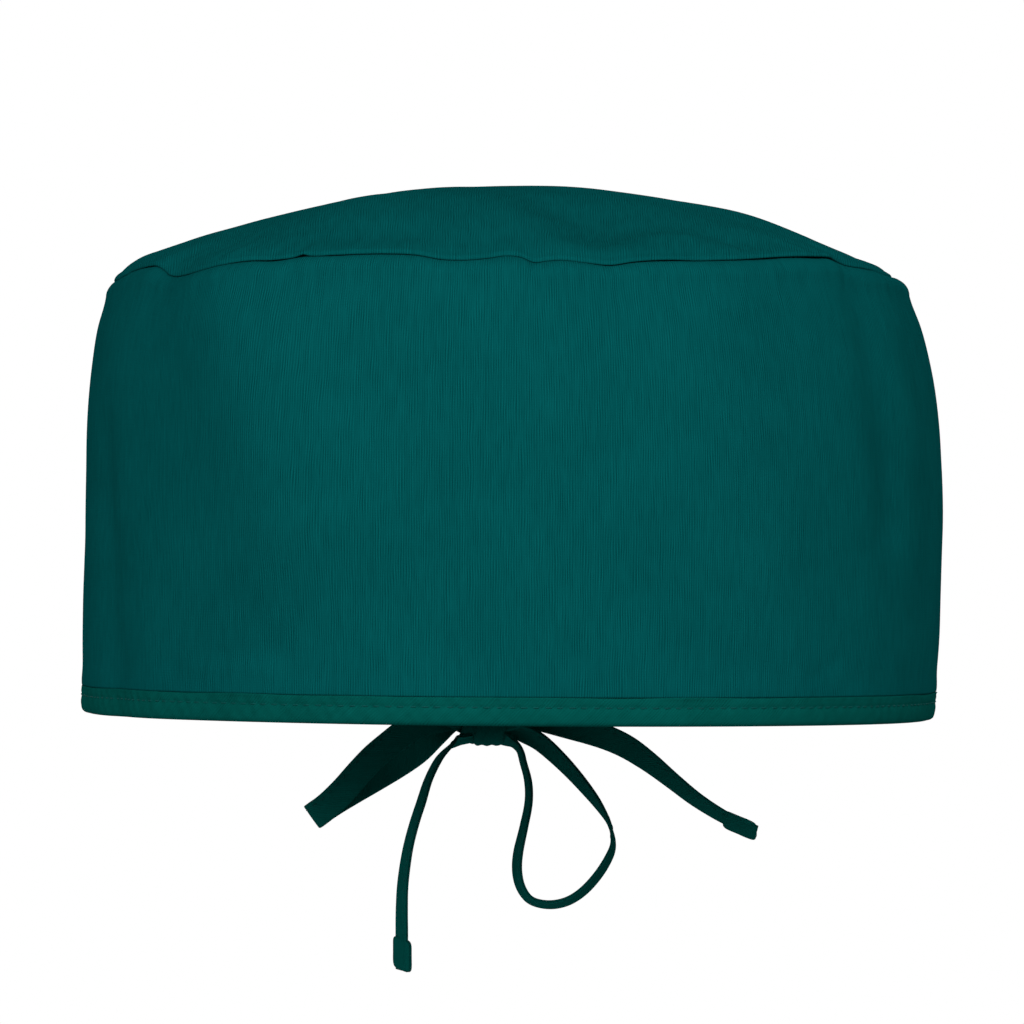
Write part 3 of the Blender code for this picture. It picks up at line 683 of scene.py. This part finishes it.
def makeCrown():
    columns = fineness["columns"]
    turns = notchTurns(np.array([1.0]), columns)[0]
    rise, stand, gape = puckers(turns)
    front = cloth["creaseDepth"] - stand
    top = cap["bandHeight"] + cap["crownRise"]
    edge = seamPoint(turns, front + cloth["edgeRound"], cloth["edgeRise"])
    angle = np.radians(cloth["tuckAngle"])

    # Rings of the dome, outward to the seam
    reaches = np.concatenate([
        np.linspace(0.004, 0.06, 4), np.linspace(0.09, 0.84, 32), np.linspace(0.855, 0.955, 12),
        np.array([0.965, 0.974, 0.982, 0.990, 0.996]),
    ])
    falls = softCurve(domeRings, reaches)[:, 0]
    x, y = edge[None, :, 0] * reaches[:, None], edge[None, :, 1] * reaches[:, None]
    fade = np.minimum(1, (1 - reaches) / 0.1)[:, None]
    z = top - (top - edge[None, :, 2] + rise) * falls[:, None] + rise * falls[:, None] ** cap["waveFade"]
    z = z - crownFold(x, y) * fade
    u = frontPlace(turns)
    fromSeam = (1 - reaches)[:, None] * cap["depth"] / 2 / mm
    z = z + cloth["gather"] * 1.3 * gathers(u * 1.07 + 3) * np.exp(-((fromSeam - 5) / 6) ** 2)
    z = z + cloth["unevenness"] * 1.5 * unevenness(x / mm, y / mm, 37) * fade
    outer = np.stack([x, y, z], -1)

    # Round the edge, back over the band's roll into the seam, and in along the band's allowance
    foot = rollRise(front) + gape
    lip = [seamPoint(turns, front + cloth["edgeRound"] * behind, foot + (cloth["edgeRise"] - foot) * over)
           for behind, over in crownEdge]
    for share in (0.35, 0.75):
        inset = front + stand * share
        lip.append(seamPoint(turns, inset, rollRise(inset) + gape * (1 - share)))
    for share in (0.0, 0.3, 0.65, 1.0):
        reach = share * cloth["tuckLength"]
        inset = cloth["creaseDepth"] + 0.0002 + reach * math.cos(angle)
        lip.append(seamPoint(turns, np.full_like(turns, inset), 0.0001 - reach * math.sin(angle)))
    outer = np.concatenate([outer, np.stack(lip)])
    outer[:, 0] = outer[:, -1] = (outer[:, 0] + outer[:, -1]) / 2
    middle = outer[0].mean(0)
    outer = np.concatenate([np.broadcast_to(middle, outer[:1].shape), outer])
    place = np.stack([outer[..., 0], outer[..., 1], np.zeros(outer.shape[:2])], -1) / mm
    closed = np.ones(len(outer), bool)
    normals = gridNormals(outer, closed)
    normals[0] = (0, 0, 1)
    normals *= np.where(normals[len(outer) // 2, 0, 2] > 0, 1, -1)
    # Less thick round the tight edge, where the inner face has no room
    thickness = np.full(len(outer), cloth["thickness"])
    thickness[-len(lip):] *= 0.4
    inner = outer - normals * thickness[:, None, None]
    inner[0] = inner[0, 0]
    innerPlace = place + np.array([0, 0, 1.0])
    every, near = fineness["innerEvery"], fineness["domeRows"]
    kept = np.concatenate([[0, 1], np.arange(every, near, every), np.arange(near, len(outer))])
    patches = [(outer, place, False), (inner[kept], innerPlace[kept], True)]
    patches.append(rimPatch(outer[-1], inner[-1], place[-1], innerPlace[-1], False))
    return clothMesh("crownPanel", patches)


# Hem binding: tape folded over the band's raw edge
binding = {
    "cloth": 0.0009,
    "stitchHeight": 0.0029,    # of the stitch line, over the band's raw edge
    "stitchPitch": 0.0026,
    "stitchLength": 0.0017,
    "threadRadius": 0.00017,
    "pucker": 0.00010,
    "needleHole": 0.00022,
}
# The gap on each face of the band, the tape's and the band's thickness
hemLayers = cap["clearance"] * 0.5, binding["cloth"], cloth["thickness"]


def tapePucker(u, v):
    # The tape is drawn in along its stitches, more at some than at others, and it ripples between them
    fromLine = (v - binding["stitchHeight"] / mm) / 0.7
    uneven = 1 + 0.5 * np.sin(u / 17.3 * fullTurn) * np.sin(u / 6.1 * fullTurn + 1.0)
    pull = -1.3 * np.exp(-fromLine ** 2) * (1 + 0.35 * np.cos(u / (binding["stitchPitch"] / mm) * fullTurn))
    slant = np.sin((u + 0.8 * v) / 4.3 * fullTurn + 1.2 * np.sin(u / 19.0 * fullTurn))
    pitch = binding["stitchPitch"] / mm
    fromHole = np.hypot((np.mod(u / pitch, 1) - 0.5) * pitch / 0.45, fromLine / 0.55)
    return binding["pucker"] * uneven * (pull + 0.8 * slant) - binding["needleHole"] * np.exp(-fromHole ** 2)


def makeBinding():
    turns = notchTurns(np.array([0.0]), fineness["tapeColumns"])[0]
    u = frontPlace(turns)
    u[0], u[-1] = abs(u[0]), -abs(u[-1])
    gap, thick, wall = hemLayers
    high, line = cap["tapeHeight"], binding["stitchHeight"]
    # The folded tape's section: how far out from the band's face, how far up, and how much it puckers
    outerLeg = [
        (gap, high - 0.0008, 0), (gap, high + 0.0001, 0), (gap + 0.25 * thick, high + 0.0002, 0.3),
        (gap + 0.6 * thick, high + 0.0001, 0.6), (gap + 0.92 * thick, high - 0.0003, 1),
        (gap + thick, high - 0.0009, 1), (gap + thick, line + 0.0006, 1), (gap + thick, line + 0.0003, 1),
        (gap + thick, line, 1), (gap + thick, line - 0.0003, 1), (gap + thick, line - 0.0006, 1),
        (gap + 1.05 * thick, line - 0.0012, 1), (gap + 1.05 * thick, 0.0011, 1),
        (gap + thick, 0.0005, 0.8), (gap + 0.93 * thick, -0.0001, 0.6), (gap + 0.7 * thick, -0.0006, 0.4),
        (gap + 0.3 * thick, -0.0009, 0.2),
    ]
    foot = [(-wall * 0.5, -0.0011, 0)]
    innerLeg = [(-wall - out, up, share) for out, up, share in reversed(outerLeg)]
    profile = outerLeg + foot + innerLeg
    grid, place = [], []
    # Here and there the tape's upper edge sits closer under the band's fold
    closer = 0.00013 * (1 + gathers(0.23 * u))
    for out, up, share in profile:
        height = (max(0.0, up) + np.where(up > line + 0.0012, closer, 0)) / cap["bandHeight"]
        lift = tapePucker(u, up / mm) * share * (1 if out > -wall / 2 else -1)
        point = wallPoint(turns, height, out + lift)
        point[:, 2] += min(0.0, up)
        grid.append(point)
        place.append(np.stack([u, np.full_like(u, up / mm), np.full_like(u, 2.0)], -1))
    grid, place = np.stack(grid + grid[:1]), np.stack(place + place[:1])
    patches = [(grid, place, False)]
    for column, flipped in ((0, False), (-1, True)):
        ring, ringPlace = grid[:, column], place[:, column]
        middle = np.broadcast_to(ring[:-1].mean(0), ring.shape)
        patches.append(rimPatch(ring, middle, ringPlace, ringPlace, flipped))
    return clothMesh("hemTape", patches)


# Thread: one short bowed capsule for each stitch, sunk at its ends
def threadMesh(name, middles, alongs, outwards, length, radius):
    around, steps = 7, np.array([-0.5, -0.44, -0.3, 0.0, 0.3, 0.44, 0.5])
    girths = np.array([0.02, 0.55, 0.92, 1.0, 0.92, 0.55, 0.02])
    sinks = np.array([-0.9, -0.45, 0.0, 0.25, 0.0, -0.45, -0.9])
    across = np.cross(alongs, outwards)
    patches = []
    angles = np.linspace(0, fullTurn, around + 1)
    for middle, along, outward, side in zip(middles, alongs, outwards, across):
        ring = np.cos(angles)[:, None] * outward + np.sin(angles)[:, None] * side
        spine = middle + steps[:, None] * length * along + sinks[:, None] * radius * outward
        grid = spine[:, None] + ring[None] * (girths * radius)[:, None, None]
        grid[0], grid[-1] = grid[0].mean(0), grid[-1].mean(0)
        place = np.zeros(grid.shape)
        place[..., 0] = steps[:, None] * length / mm
        place[..., 1] = angles[None] * radius / mm
        patches.append((grid, place, False))
    return clothMesh(name, patches)


def makeHemStitches():
    turns = notchTurns(np.array([0.0]), 2)[0]
    # Counted from the middle of the front, as the needle holes are
    pitch, reach = binding["stitchPitch"], arcAt(turns) - arcAt(0.5)
    turns = turnAt(arcAt(0.5) + pitch * np.arange(math.ceil(reach[0] / pitch) + 1, int(reach[-1] / pitch)))
    share = binding["stitchHeight"] / cap["bandHeight"]
    gap, thick, wall = hemLayers
    along = unit(wallPoint(turns + 0.0005, share) - wallPoint(turns - 0.0005, share))
    outward = np.concatenate([planNormal(turns, np.full_like(turns, share)), np.zeros((len(turns), 1))], -1)
    lift = tapePucker(frontPlace(turns), binding["stitchHeight"] / mm)
    front = wallPoint(turns, share, gap + thick + lift + binding["threadRadius"] * 0.1)
    back = wallPoint(turns, share, -wall - gap - thick - lift - binding["threadRadius"] * 0.1)
    return threadMesh("hemStitches", np.concatenate([front, back]), np.concatenate([along, along]),
                      np.concatenate([outward, -outward]), binding["stitchLength"], binding["threadRadius"])


knotForm = {
    "wrapTilts": (16, -12),         # degrees
    "wrapPlaces": (-0.0016, 0.0016),
    "wrapWidth": 0.0068,
    "squareness": 2.6,
    "creases": 5,
}


def inKnot(points, grow=0.0):
    away = np.abs(points - np.array(knotCentre))
    half = np.array([ties["knotWidth"], ties["knotDepth"], ties["knotHeight"]]) / 2 + grow
    return (away < half).all(-1)


def knotWrap(place, tilt, out):
    # One turn of tape round the middle of the bow
    angle = np.linspace(0, fullTurn, 97)
    power = 2 / knotForm["squareness"]
    thick = ties["thickness"]
    c, s = np.cos(angle), np.sin(angle)
    y = signedPower(c, power) * (ties["knotDepth"] / 2 - thick / 2 + out)
    z = signedPower(s, power) * (ties["knotHeight"] / 2 - thick / 2 + out)
    lean = math.tan(math.radians(tilt))
    points = np.stack([place + lean * z * np.sign(place) * -1 + 0.0002 * np.sin(2 * angle), y, z], -1)
    along = np.gradient(points, axis=0)
    along[0] = along[-1] = along[0] + along[-1]
    along = unit(along)
    widths = np.tile([1.0, 0.0, 0.0], (len(points), 1))
    widths = unit(widths - along * (widths * along).sum(1, keepdims=True))
    pinch = 1 + 0.12 * np.sin(2 * angle + 0.6) + 0.06 * np.sin(5 * angle)
    half = knotForm["wrapWidth"] / 2
    across = np.linspace(-1, 1, 25)
    swell = np.sqrt(np.clip(1 - across ** 6, 0, 1))
    fold = 0.16 * np.cos(across * math.pi * knotForm["creases"] / 2)
    profile = np.concatenate([
        np.stack([across * half, (swell * 0.5 + fold * swell) * thick], -1),
        np.stack([across[-2:0:-1] * half, -swell[-2:0:-1] * 0.5 * thick], -1),
    ])
    at = np.linspace(0, 0.026, len(points))
    thicks = np.cross(along, widths)
    thicks *= np.sign((thicks * points).sum(1, keepdims=True))
    points = points + np.array(knotCentre)
    return tapePatches(points, widths * pinch[:, None], thicks, at, profile, closed=True)


def makeKnot():
    patches = []
    for place, tilt, out in zip(knotForm["wrapPlaces"], knotForm["wrapTilts"], (-0.0004, 0.0001)):
        patches += knotWrap(place, tilt, out)
    # The loops' roots, bunched together inside the wraps
    turn, rise = np.linspace(0, fullTurn, 73), np.radians(np.linspace(-90, 90, 37))
    ring = np.stack([np.cos(turn), np.sin(turn)], -1)
    crease = 1 + 0.07 * np.cos(5 * turn[None] + 1.5) * np.cos(rise[:, None]) + 0.04 * np.cos(9 * turn[None])
    half = np.array([ties["knotWidth"], ties["knotDepth"] - 0.0016, ties["knotHeight"] - 0.0016]) / 2
    grid = np.stack([
        half[0] * signedPower(np.sin(rise), 0.7)[:, None] + 0 * turn[None],
        half[1] * np.cos(rise)[:, None] ** 0.8 * ring[None, :, 0] * crease,
        half[2] * np.cos(rise)[:, None] ** 0.8 * ring[None, :, 1] * crease,
    ], -1)
    grid[0], grid[-1] = grid[0].mean(0), grid[-1].mean(0)
    along = grid[..., 0]
    place = np.stack([along, np.broadcast_to(turn * 0.004, along.shape), along * 0], -1) / mm
    patches.append((grid + np.array(knotCentre), place, False))
    return clothMesh("bowKnot", patches)


def tieLegs(side):
    # The tie from the left corner makes the right loop and the left end, and the other the reverse
    start = hemEnd(side)
    entry = (side * knotSide, -ties["knotDepth"] / 3, ties["knotHeight"] / 2 - ties["width"] / 2, 90, 0)
    hem = ((*start, 90, 0), entry)
    return (hem, rightLoopRoute, leftEndRoute) if side < 0 else (hem, leftLoopRoute, rightEndRoute)


def makeTie(name, side):
    points, along, widths, thicks, at = tapeFrames(tieLegs(side))
    tie = clothMesh(name, tapePatches(points, widths, thicks, at, tapeProfile()))
    half, thick = ties["width"] / 2, ties["thickness"] / 2
    every = int(round(binding["stitchPitch"] / ties["step"]))
    rows = np.arange(every, len(points) - int(ties["tabs"][side][0] / ties["step"]) - 1, every)
    rows = rows[~inKnot(points[rows], 0.0008)]
    line = points[rows] + widths[rows] * (half - ties["stitchInset"])
    out = thick * 0.8
    stitches = threadMesh(
        name + "Stitches",
        np.concatenate([line + thicks[rows] * out, line - thicks[rows] * out]),
        np.concatenate([along[rows]] * 2), np.concatenate([thicks[rows], -thicks[rows]]),
        binding["stitchLength"], binding["threadRadius"],
    )
    tab = makeTab(name + "Tab", ties["tabs"][side], points[-1], along[-1], widths[-1], thicks[-1])
    return tie, stitches, tab, points, float(at[-1])


def makeTab(name, sizes, end, along, width, thick):
    # The tie's end folded over on itself, with rounded corners
    length, wide, deep, shift, turned = sizes
    c, s = math.cos(math.radians(turned)), math.sin(math.radians(turned))
    width, thick = width * c + thick * s, thick * c - width * s
    turn, rise = np.linspace(0, fullTurn, 81), np.radians(np.linspace(-90, 90, 25))
    corner, cheek = 2 / 5.5, 2 / 3.2
    c, s = np.cos(turn), np.sin(turn)
    shrink = np.cos(rise)[:, None] ** cheek
    up = signedPower(np.sin(rise), cheek)
    a = signedPower(c, corner)[None] * shrink * wide / 2
    b = signedPower(s, corner)[None] * shrink * length / 2
    layers = 1 - 0.05 * np.cos(up[:, None] * math.pi * 3) * (shrink > 0.6)
    a = a * layers
    dent = 1 - 0.12 * bump(a, wide * 0.28, 0.0007) - 0.10 * bump(b, -length * 0.1, 0.0012)
    h = up[:, None] * dent * deep / 2
    middle = end - along * length / 2 + width * shift
    b = b + 0.15 * a * np.sign(shift)
    grid = middle + a[..., None] * width + b[..., None] * along + h[..., None] * thick
    grid[0], grid[-1] = grid[0].mean(0), grid[-1].mean(0)
    place = np.stack([b, a, np.sign(h) * 0.001 + 0 * a], -1) / mm
    return clothMesh(name, [(grid, place, True)])


# Materials
def fromHex(text):
    # sRGB hex to linear
    parts = [int(text[k:k + 2], 16) / 255 for k in (1, 3, 5)]
    return tuple(p / 12.92 if p <= 0.04045 else ((p + 0.055) / 1.055) ** 2.4 for p in parts) + (1.0,)


def addNode(tree, kind, settings=None, inputs=None):
    node = tree.nodes.new(kind)
    for key, value in (settings or {}).items():
        setattr(node, key, value)
    for key, value in (inputs or {}).items():
        if isinstance(value, bpy.types.NodeSocket):
            tree.links.new(value, node.inputs[key])
        else:
            node.inputs[key].default_value = value
    return node


wovenCloth = {
    "deepHex": "#014243",
    "brightHex": "#055e5f",
    "ribPitch": 0.54,        # mm; the real yarns lie 0.28 mm apart, too fine to show
    "ribWander": 0.26,       # mm, how far the ribs stray before they break
    "ribLength": 7,          # mm
    "ribTone": 0.37,
    "grainAngle": 0,         # degrees
    "slubWidth": 1.2,        # mm
    "slubLength": 7,         # mm
    "mottle": 24,            # mm
    "weaveDepth": 0.05,      # mm
    "roughness": 0.9,
    "sheen": 0.02,
    "sheenHex": "#208a84",
}


def nodeMaterial(name):
    material = bpy.data.materials.new(name)
    material.use_nodes = True
    return material, material.node_tree


def polyCottonPlainWeave(name, look):
    # Poly-cotton, plain woven and piece dyed: matt, with fine broken ribs of warp and faint slubs
    material, tree = nodeMaterial(name)
    tree.nodes.clear()
    output = addNode(tree, "ShaderNodeOutputMaterial")
    place = addNode(tree, "ShaderNodeAttribute", {"attribute_name": "clothPlace"}).outputs["Vector"]
    place = addNode(tree, "ShaderNodeVectorRotate", {"rotation_type": "Z_AXIS"},
                    {"Vector": place, "Angle": math.radians(look["grainAngle"])}).outputs[0]

    def maths(operation, *parts):
        inputs = {k: part for k, part in enumerate(parts)}
        return addNode(tree, "ShaderNodeMath", {"operation": operation}, inputs).outputs[0]

    def patches(wide, high, detail):
        scaled = addNode(tree, "ShaderNodeVectorMath", {"operation": "MULTIPLY"},
                         {0: place, 1: (1 / wide, 1 / high, 3.0)})
        noise = addNode(tree, "ShaderNodeTexNoise", {},
                        {"Vector": scaled.outputs[0], "Scale": 1.0, "Detail": detail, "Roughness": 0.55})
        return maths("SUBTRACT", noise.outputs["Fac"], 0.5)

    axes = addNode(tree, "ShaderNodeSeparateXYZ", {}, {"Vector": place}).outputs
    wander = patches(look["ribPitch"] * 4, look["ribLength"], 0)
    across = maths("MULTIPLY_ADD", wander, look["ribWander"] * 2, axes["X"])
    rib = maths("SINE", maths("MULTIPLY", across, fullTurn / look["ribPitch"]))
    pick = maths("SINE", maths("MULTIPLY", axes["Y"], fullTurn / look["ribPitch"]))
    strength = maths("MULTIPLY_ADD", patches(look["ribPitch"] * 3, look["ribLength"] * 0.7, 1), 3.4, 0.75)
    rib = maths("MULTIPLY", rib, strength)
    slub = patches(look["slubWidth"], look["slubLength"], 2)
    mottle = patches(look["mottle"], look["mottle"], 3)

    tone = maths("MULTIPLY_ADD", rib, look["ribTone"], 0.5)
    for part, share in ((pick, 0.02), (slub, 0.55), (mottle, 0.5)):
        tone = maths("MULTIPLY_ADD", part, share, tone)
    colour = addNode(tree, "ShaderNodeMix", {"data_type": "RGBA", "clamp_factor": True},
                     {0: tone, 6: fromHex(look["deepHex"]), 7: fromHex(look["brightHex"])}).outputs[2]
    relief = maths("MULTIPLY_ADD", pick, 0.15, maths("ADD", rib, slub))
    bumps = addNode(tree, "ShaderNodeBump", {}, {"Height": relief, "Strength": 0.5,
                                                 "Distance": look["weaveDepth"] * mm}).outputs[0]
    shader = addNode(tree, "ShaderNodeBsdfPrincipled", {}, {
        "Base Color": colour, "Roughness": look["roughness"], "Normal": bumps, "Metallic": 0.0,
        "Specular IOR Level": 0.0, "Sheen Weight": look["sheen"], "Sheen Roughness": 0.5,
        "Sheen Tint": fromHex(look["sheenHex"]),
    })
    tree.links.new(shader.outputs[0], output.inputs[0])
    return material


def polyesterCoreSpunThread(name):
    # Core-spun polyester, dyed to match the cloth and a little smoother
    material, tree = nodeMaterial(name)
    shader = tree.nodes["Principled BSDF"]
    place = addNode(tree, "ShaderNodeAttribute", {"attribute_name": "clothPlace"}).outputs["Vector"]
    twist = addNode(tree, "ShaderNodeTexWave", {"bands_direction": "DIAGONAL"},
                    {"Vector": place, "Scale": 1.6, "Distortion": 0.5}).outputs["Fac"]
    colour = addNode(tree, "ShaderNodeMix", {"data_type": "RGBA"},
                     {0: twist, 6: fromHex("#033f3d"), 7: fromHex("#075a56")}).outputs[2]
    tree.links.new(colour, shader.inputs["Base Color"])
    shader.inputs["Roughness"].default_value = 0.7
    shader.inputs["Specular IOR Level"].default_value = 0.08
    return material


def seamlessPaper(name):
    # White background paper, matt
    material, tree = nodeMaterial(name)
    shader = tree.nodes["Principled BSDF"]
    shader.inputs["Base Color"].default_value = fromHex("#dcdcda")
    shader.inputs["Roughness"].default_value = 0.95
    return material


def dress(piece, material):
    piece.data.materials.clear()
    piece.data.materials.append(material)
    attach(piece, "root")


cottonMaterial = polyCottonPlainWeave("plain_woven_poly_cotton", wovenCloth)
tapeLook = dict(wovenCloth, deepHex="#01433d", brightHex="#065d57", mottle=14, ribTone=0.12, grainAngle=45)
tapeMaterial = polyCottonPlainWeave("folded_poly_cotton_tape", tapeLook)
threadMaterial = polyesterCoreSpunThread("core_spun_thread")
print("materials made")

tieA, tieAStitches, tieATab, pathA, lengthA = makeTie("tieFromLeft", -1)
tieB, tieBStitches, tieBTab, pathB, lengthB = makeTie("tieFromRight", 1)
knot = makeKnot()
for piece in (tieA, tieB, tieATab, tieBTab, knot):
    dress(piece, tapeMaterial)
for piece in (tieAStitches, tieBStitches):
    dress(piece, threadMaterial)
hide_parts("tie_left", "bow_loop_right", "tie_end_left")
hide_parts("tie_right", "bow_loop_left", "tie_end_right")
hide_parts("bow_knot")
print("ties made, %.0f and %.0f mm long" % (lengthA / mm, lengthB / mm))

band = makeBand()
crown = makeCrown()
hemTape = makeBinding()
hemStitches = makeHemStitches()
dress(band, cottonMaterial)
dress(crown, cottonMaterial)
dress(hemTape, tapeMaterial)
dress(hemStitches, threadMaterial)
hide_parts("side_band")
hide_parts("crown")
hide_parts("hem_binding")
print("band, crown and hem made")


# Studio: large soft boxes high in front and at the right, low ones in front and at the left, and some
# behind. The floor lies as far below the cap as it does below a standing person's head.
studio = {
    "floorHeight": -1.7,
    "floorRadius": 5.0,
    "ambient": 0.04,
    # azimuth, elevation, distance, width, height, power
    "boxes": {
        "keyBox": (0, 35, 2.6, 2.4, 1.4, 26.5),
        "rightBox": (50, 32, 2.6, 1.2, 1.0, 19.6),
        "lowFrontBox": (-10, 11, 2.6, 1.2, 0.5, 23.8),
        "lowLeftBox": (-40, 8, 2.6, 1.0, 0.5, 5.7),
        "leftSideBox": (-78, 12, 2.6, 1.0, 1.0, 6),
        "backLeftBox": (-135, 8, 2.6, 1.2, 1.0, 7.5),
        "backRightBox": (135, 30, 2.6, 1.2, 1.0, 10),
        "backBox": (180, 4, 2.8, 1.6, 1.2, 24),
    },
}


def addStudio():
    floor = bpy.data.meshes.new("floor")
    turns = np.linspace(0, fullTurn, 97)[:-1]
    ring = [(studio["floorRadius"] * math.cos(t), studio["floorRadius"] * math.sin(t), 0) for t in turns]
    floor.from_pydata(ring, [], [tuple(range(len(ring)))])
    floor.materials.append(seamlessPaper("seamless_paper"))
    piece = bpy.data.objects.new("floor", floor)
    piece.location = (0, 0, studio["floorHeight"])
    bpy.context.collection.objects.link(piece)

    for name, (azimuth, elevation, distance, wide, high, power) in studio["boxes"].items():
        light = bpy.data.lights.new(name, "AREA")
        light.shape = "RECTANGLE"
        light.size, light.size_y = wide, high
        light.energy = power
        box = bpy.data.objects.new(name, light)
        a, e = math.radians(azimuth), math.radians(elevation)
        toward = Vector((math.sin(a) * math.cos(e), -math.cos(a) * math.cos(e), math.sin(e)))
        box.location = Vector((0, 0, 0.05)) + toward * distance
        box.rotation_euler = toward.to_track_quat("Z", "Y").to_euler()
        bpy.context.collection.objects.link(box)

    world = bpy.data.worlds.new("white room")
    world.use_nodes = True
    tree = world.node_tree
    tree.nodes.clear()
    seen = addNode(tree, "ShaderNodeBackground", {}, {"Color": (1, 1, 1, 1), "Strength": 1.0}).outputs[0]
    lit = addNode(tree, "ShaderNodeBackground", {},
                  {"Color": (1, 1, 1, 1), "Strength": studio["ambient"]}).outputs[0]
    ray = addNode(tree, "ShaderNodeLightPath").outputs["Is Camera Ray"]
    both = addNode(tree, "ShaderNodeMixShader", {}, {0: ray, 1: lit, 2: seen}).outputs[0]
    addNode(tree, "ShaderNodeOutputWorld", {}, {"Surface": both})
    bpy.context.scene.world = world
    bpy.context.scene.view_settings.view_transform = "Standard"


addStudio()
print("studio set")
